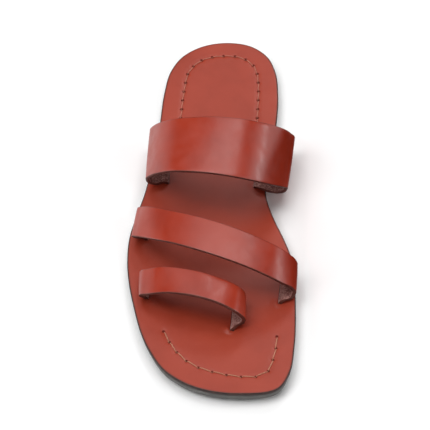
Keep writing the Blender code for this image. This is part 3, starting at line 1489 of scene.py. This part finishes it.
@dataclass
class Outsole:
    """The rubber sole, with a side that leans in and grooves underneath.

    Its leans, rounds and ring margins are in mm, as its rings are.
    """

    shape: SoleShape
    top_lean: float = 0.3
    bottom_lean: float = 1.1
    top_round: float = 0.25
    bottom_round: float = 0.6
    rim_steps: int = 3
    top_margin: float = 1.0
    top_rings: int = 3
    bottom_margin: float = 2.0
    bottom_rings: int = 12
    groove_pitch: float = 5.5 * MM
    groove_width: float = 1.6 * MM
    groove_sides: int = 16
    groove_margin: float = 9 * MM
    arch_gap: Range = (8 * MM, 52 * MM)
    smooth_below: float = radians(40)

    def rims(self) -> list[Rim]:
        """Rings of the side, from the top face down to the underside.

        Returns:
            The rings.
        """
        top = self.shape.outsole_top() / MM
        rims = []
        for inset, drop in rounded(self.top_round, self.rim_steps):
            rims.append(Rim(self.top_lean + inset, drop))
        rims.append(Rim((self.top_lean + self.bottom_lean) / 2, top / 2))
        # The lower edge is the upper one laid on its side.
        for drop, inset in rounded(self.bottom_round, self.rim_steps):
            rims.append(Rim(self.bottom_lean + inset, top - drop))
        return rims

    def build(self, finishes: Finishes) -> None:
        """Makes the sole and dresses it.

        Args:
            finishes: The sandal's materials.
        """
        shape = self.shape
        outline = shape.outline()
        top = shape.outsole_top() / MM
        upper = shape.drawn_in(outline, (self.top_lean + self.top_margin) * MM)
        lower = shape.drawn_in(outline, (self.bottom_lean + self.bottom_margin) * MM)
        rings = [(ring, 0.0) for ring in shape.rings(upper, self.top_rings)]
        for inset, drop in self.rims():
            ring = shape.drawn_in(outline, inset * MM)
            rings.append((ring + ring[:1], drop))
        rings += [(ring, top) for ring in reversed(shape.rings(lower, self.bottom_rings))]
        rows = []
        for ring, drop in rings:
            rows.append([Vector((p.x, p.y, shape.lift(p.y) + (top - drop) * MM)) for p in ring])
        distances = [[0.0] * len(row) for row in rows]

        sole = Bench.sheet("outsole_rubber", rows, distances)
        Bench.coat(sole, finishes.rubber)
        Bench.weld(sole)
        Bench.cut(sole, self.tread_cutter(outline), Slot.FACE)
        Bench.smooth(sole, self.smooth_below)
        Bench.fit(sole, Node.OUTSOLE, Node.OUTSOLE)

    def tread_cutter(self, outline: list[Vector]) -> Piece:
        """Bars for the tread's grooves, which stop short of the sole's side and skip the arch.

        Args:
            outline: The sole's outline.

        Returns:
            The joined bars.
        """
        bars = []
        count = len(outline)
        y = outline[0].y - self.groove_margin
        while y > self.shape.toe_tip_y + self.groove_margin:
            low, high = self.arch_gap
            if not low < y < high:
                outer = min(outline[: count // 2], key=lambda p: abs(p.y - y)).x + self.groove_margin
                inner = min(outline[count // 2 :], key=lambda p: abs(p.y - y)).x - self.groove_margin
                Bench.clear()
                bpy.ops.mesh.primitive_cylinder_add(
                    vertices=self.groove_sides,
                    radius=self.groove_width / 2,
                    depth=inner - outer,
                    location=((outer + inner) / 2, y, self.shape.lift(y)),
                    rotation=(0, pi / 2, 0),
                )
                bars.append(bpy.context.active_object)
            y -= self.groove_pitch
        return Bench.join(bars, "tread")


@dataclass
class Studio:
    """A pale floor, a card, soft light and the camera at the photograph's angle."""

    camera_place: Triple = (0.052, -1.0984, 1.4375)
    photo_pitch: float = radians(53)
    aim: Triple = (0.001, -0.003, 0.008)
    lens: float = 258.0
    sensor: float = 36.0
    floor_size: float = 8.0
    floor_gap: float = 0.1 * MM
    floor_colour: Colour = (0.96, 0.96, 0.96)
    card_place: Triple = (0.055, -0.012, 0.02)
    card_size: tuple[float, float] = (0.044, 0.145)
    card_tilt: float = radians(9)
    card_colour: Colour = (0.15, 0.012, 0.006)
    lamp_distance: float = 1.9
    room_light: float = 0.03

    def build(self) -> None:
        """Sets up the floor, the card, the light and the camera.

        Neither the floor nor the card belongs to the sandal.
        """
        self.lay_floor()
        self.stand_card()
        self.hang_lights()
        self.light_room()
        self.place_camera()

    def lay_floor(self) -> None:
        """Lays a large pale floor.

        It lies a hair under the sole, so that the two don't share a plane.
        """
        Bench.clear()
        bpy.ops.mesh.primitive_plane_add(size=self.floor_size, location=(0, 0, -self.floor_gap))
        floor = Bench.name("floor")
        recipe = Recipe("studio_floor")
        recipe.set(Base_Color=(*self.floor_colour, 1), Roughness=0.9, Specular_IOR_Level=0.1)
        Bench.coat(floor, recipe.material)

    def stand_card(self) -> None:
        """Stands a dark red card at the inner side, that keeps the floor's glare off the strap ends.

        It shows in reflected light alone, and stands higher at the toe than at the heel.
        """
        Bench.clear()
        bpy.ops.mesh.primitive_plane_add(size=1, location=self.card_place, rotation=(0, -pi / 2, 0))
        card = Bench.name("card")
        card.scale = (*self.card_size, 1)
        bpy.ops.object.transform_apply(location=False)
        card.rotation_euler.x = -self.card_tilt
        bpy.ops.object.transform_apply()
        recipe = Recipe("card_paint")
        recipe.set(Base_Color=(*self.card_colour, 1), Roughness=0.9, Specular_IOR_Level=0)
        Bench.coat(card, recipe.material)
        card.visible_camera = False
        card.visible_shadow = False

    def hang_lights(self) -> None:
        """Hangs the softboxes.

        Each is turned to the middle of the floor.
        """
        for box in SOFTBOXES:
            bearing, elevation = radians(box.bearing), radians(box.elevation)
            level = cos(elevation)
            towards = Vector((sin(bearing) * level, cos(bearing) * level, sin(elevation)))
            Bench.clear()
            bpy.ops.object.light_add(
                type="AREA",
                location=towards * self.lamp_distance,
                rotation=(-towards).to_track_quat("-Z", "Y").to_euler(),
            )
            light = bpy.context.active_object
            light.name = box.label
            light.data.shape = "RECTANGLE"
            light.data.size = box.width
            light.data.size_y = box.height
            light.data.energy = box.power

    def light_room(self) -> None:
        """Sets the faint white light of the room.

        Colours are shown as they are, with no film look.
        """
        world = bpy.data.worlds.new("room")
        bpy.context.scene.world = world
        world.use_nodes = True
        background = world.node_tree.nodes["Background"]
        Recipe.dial(background, Color=(1, 1, 1, 1), Strength=self.room_light)
        bpy.context.scene.view_settings.view_transform = "Standard"

    def place_camera(self) -> None:
        """Places the camera and points it at the sandal.

        It stands where the photograph's camera stood, with the same way up.
        """
        data = bpy.data.cameras.new("camera")
        camera = bpy.data.objects.new("camera", data)
        bpy.context.collection.objects.link(camera)
        place = Vector(self.camera_place)
        ahead = (Vector(self.aim) - place).normalized()
        up = Vector((0, sin(self.photo_pitch), cos(self.photo_pitch)))
        right = ahead.cross(up).normalized()
        turn = Matrix((right, right.cross(ahead), -ahead)).transposed()
        camera.location = place
        camera.rotation_euler = turn.to_euler()
        data.lens = self.lens
        data.sensor_width = self.sensor
        bpy.context.scene.camera = camera


def main() -> None:
    """Builds the dressed sandal and its studio.
    """
    logging.basicConfig(level=logging.INFO, format="%(message)s")
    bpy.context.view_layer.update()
    finishes = Finishes.mix()
    shape = SoleShape()
    straps = [
        Strap(Node.INSTEP, INSTEP_FOLDS, width=36 * MM, shape=shape),
        Strap(Node.BALL, BALL_FOLDS, width=20 * MM, shape=shape),
        Strap(Node.TOE, TOE_LOOP_FOLDS, width=17 * MM, shape=shape),
    ]
    heel_seam = Seam(
        label="heel_stitching",
        points=HEEL_SEAM,
        pitch=7.0 * MM,
        thread_radius=0.31 * MM,
        hole_radius=0.95 * MM,
        shape=shape,
        thread=finishes.heel_thread,
    )
    toe_seam = Seam(
        label="toe_stitching",
        points=TOE_SEAM,
        pitch=8.2 * MM,
        thread_radius=0.34 * MM,
        hole_radius=0.85 * MM,
        shape=shape,
        thread=finishes.toe_thread,
    )
    seams = [heel_seam, toe_seam]
    Outsole(shape).build(finishes)
    Insole(shape, straps, seams).build(finishes)
    for seam in seams:
        seam.sew()
    for strap in straps:
        strap.build(finishes)
    Studio().build()


if __name__ == "__main__":
    main()
